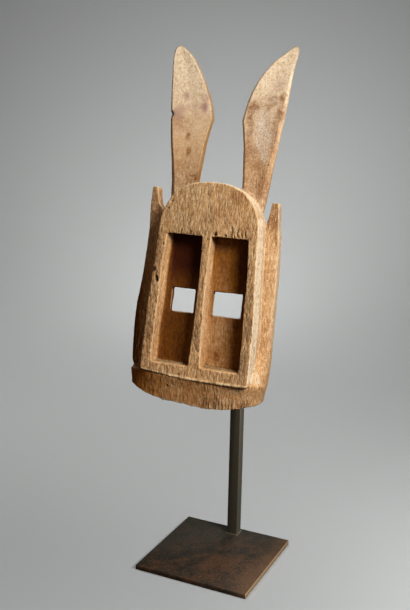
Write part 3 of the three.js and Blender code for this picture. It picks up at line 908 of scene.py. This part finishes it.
def paper_room():
    bend = WALL_AT - FLOOR_REACH
    profile = [(0.4, 0.0), (FLOOR_REACH, 0.0)]
    for k in range(1, BEND_STEPS + 1):
        a = math.pi / 2 * k / BEND_STEPS
        profile.append((FLOOR_REACH + bend * math.sin(a), bend * (1 - math.cos(a))))
    profile.append((WALL_AT, WALL_TOP))
    points = [(0, 0, -BELOW_PLATE)]
    for radius, z in profile:
        for k in range(AROUND):
            turn = 2 * math.pi * k / AROUND
            points.append((radius * math.cos(turn), radius * math.sin(turn), z - BELOW_PLATE))
    faces = [(0, 1 + k, 1 + (k + 1) % AROUND) for k in range(AROUND)]
    for ring in range(len(profile) - 1):
        first = 1 + ring * AROUND
        for k in range(AROUND):
            after = (k + 1) % AROUND
            faces.append((first + k, first + AROUND + k, first + AROUND + after, first + after))
    mesh = bpy.data.meshes.new("paper_room")
    mesh.from_pydata(points, [], faces)
    mesh.shade_smooth()
    obj = mesh_object("paper_room", mesh)
    mat, tree = new_material("grey paper")
    finish = {"Base Color": colour("#C2C4C3"), "Roughness": 0.9, "Specular IOR Level": 0.1}
    surface = add(tree, "ShaderNodeBsdfPrincipled", None, finish)
    add(tree, "ShaderNodeOutputMaterial", None, {"Surface": surface})
    mesh.materials.append(mat)
    obj.visible_diffuse = False
    obj.visible_glossy = False
    return obj


def lit_by_itself(name, *objects):
    """A group of objects that a light can be linked to."""
    group = bpy.data.collections.new(name)
    for obj in objects:
        group.objects.link(obj)
    return group


def soft_light(name, place, aim, size, spread, watts, tint, lit):
    """A square soft light that falls on one group only."""
    light = bpy.data.lights.new(name, "AREA")
    light.shape = "SQUARE"
    light.size = size
    light.spread = math.radians(spread)
    light.energy = watts
    light.color = colour(tint)[:3]
    obj = bpy.data.objects.new(name, light)
    bpy.context.scene.collection.objects.link(obj)
    obj.location = place
    obj.rotation_euler = (Vector(aim) - Vector(place)).to_track_quat("-Z", "Y").to_euler()
    obj.visible_camera = False
    obj.light_linking.receiver_collection = lit
    return obj


work = lit_by_itself("work", mask, post, plate)
carved = lit_by_itself("carved", mask)
bar = lit_by_itself("bar", post)
room = lit_by_itself("room", paper_room())
shading = lit_by_itself("shading", plate)

# Lights on the object: place, aim, size, spread, watts and tint
soft_light("key", (1.45, -0.72, 1.55), (0, 0, 0.38), 0.8, 180, 60, "#FFF8EE", work)
soft_light("front", (0.3, -2.2, 0.9), (0, 0, 0.3), 0.8, 180, 3, "#FFF0DC", work)
soft_light("left", (-1.9, -0.9, 0.6), (0, 0, 0.4), 1.0, 180, 6, "#FFDDB4", work)
soft_light("back", (0.0, 1.6, 2.4), (0, 0, 0.4), 1.0, 180, 15, "#FFFAF4", work)
soft_light("rear", (-1.1, 1.5, 0.9), (0, 0, 0.4), 1.0, 180, 16, "#FFE6C8", carved)
soft_light("side", (1.6, 0.5, 0.35), (0, 0.07, 0.15), 0.6, 180, 29, "#F4F8FF", bar)

# Lights on the paper: place, aim, size, spread and watts. Of the object, only the plate blocks them.
for name, place, aim, size, spread, watts in (
    ("high", (-0.3, 0.6, 1.6), (-1.0, 2.1, 0.6), 0.8, 180, 9.6),
    ("behind", (-0.56, 1.21, 1.09), (-0.77, 1.66, 0.2), 0.5, 180, 3.2),
    ("close", (-0.55, 1.13, 0.5), (-0.61, 1.25, 0.06), 0.25, 180, 0.7),
    ("glow", (-0.1, 0.6, 1.2), (-0.9, 2.3, 0.8), 0.6, 90, 2.2),
    ("middle", (0.3, 0.3, 1.0), (-0.6, 1.6, 0.3), 0.8, 180, 2.4),
    ("floor_right", (0.75, -0.1, 0.7), (0.4, 0.0, 0), 0.4, 120, 3.3),
    ("floor_left", (-0.5, 0.1, 1.0), (-0.4, 0.2, 0), 0.6, 180, 3.4),
    ("wall_in_front", (0.0, -0.6, 1.9), (0.3, -2.4, 0.2), 1.5, 110, 28),
    ("wall_right", (0.8, 0.2, 1.9), (2.6, 0.4, 0.2), 1.5, 110, 28),
    ("wall_left", (-0.8, -0.6, 1.9), (-2.5, -1.3, 0.2), 1.5, 110, 28),
):
    light = soft_light(name, place, aim, size, spread, watts, "#FFFFFF", room)
    light.light_linking.blocker_collection = shading

# A little even light from all round
world = bpy.data.worlds.new("room")
world.use_nodes = True
world.node_tree.nodes["Background"].inputs[0].default_value = colour("#C9C6C2")
world.node_tree.nodes["Background"].inputs[1].default_value = 0.04
bpy.context.scene.world = world
bpy.context.scene.view_settings.view_transform = "Standard"


# Camera at the photograph's viewing angle
CAMERA_ANGLES = 25.21, 12.51, 1.13          # degrees to the right of the front, down and tilted
CAMERA_AT = 0.43872, -0.97897, 0.59456      # metres


def set_camera():
    turn, down, roll = (math.radians(angle) for angle in CAMERA_ANGLES)
    ahead = Vector((-math.sin(turn) * math.cos(down), math.cos(turn) * math.cos(down), -math.sin(down)))
    right = Vector((math.cos(turn), math.sin(turn), 0))
    up = right.cross(ahead)
    x_axis = math.cos(roll) * right + math.sin(roll) * up
    y_axis = -math.sin(roll) * right + math.cos(roll) * up
    axes = Matrix((x_axis, y_axis, -ahead)).transposed().to_4x4()
    data = bpy.data.cameras.new("camera")
    data.sensor_width = 36
    data.lens = 50
    data.clip_start = 0.05
    obj = bpy.data.objects.new("camera", data)
    obj.matrix_world = Matrix.Translation(CAMERA_AT) @ axes
    bpy.context.scene.collection.objects.link(obj)
    bpy.context.scene.camera = obj


set_camera()
